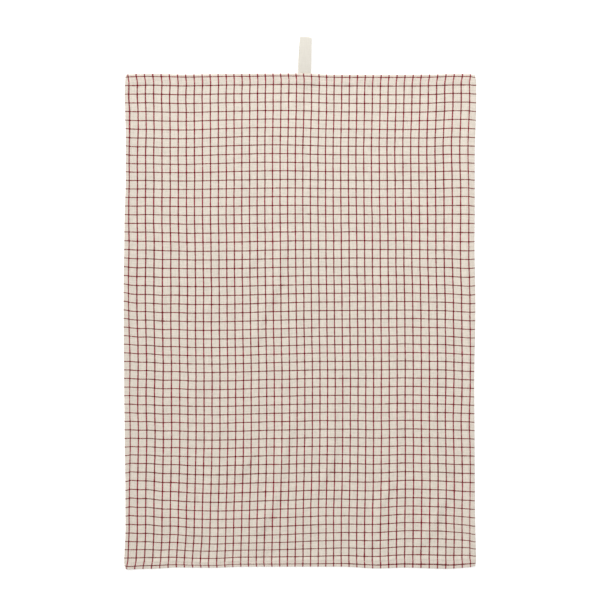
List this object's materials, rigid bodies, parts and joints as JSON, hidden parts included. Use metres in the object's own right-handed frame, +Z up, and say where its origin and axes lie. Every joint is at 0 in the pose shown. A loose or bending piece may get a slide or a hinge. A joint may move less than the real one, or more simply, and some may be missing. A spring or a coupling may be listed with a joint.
{
  "type": "tea towel",
  "caption": "Rectangular woven tea towel with a fine burgundy check on ivory, hemmed all round, with a folded tape hanging loop, lying flat face up.",
  "frame": {"origin": "middle of the whole towel's footprint, hanging loop included, on the surface it lies on", "axes": "+X across the towel's width, +Y along its length towards the hanging loop, +Z up out of the face"},
  "size_m": [0.5026, 0.7598, 0.0074],
  "materials": {
    "checked_cotton": "matt plain weave, ivory with a thin burgundy windowpane check",
    "cotton_tape": "matt twill tape, off-white"
  },
  "bodies": {
    "root": {"towel_cloth": "checked_cotton", "hanging_loop": "cotton_tape"}
  },
  "joints": []
}
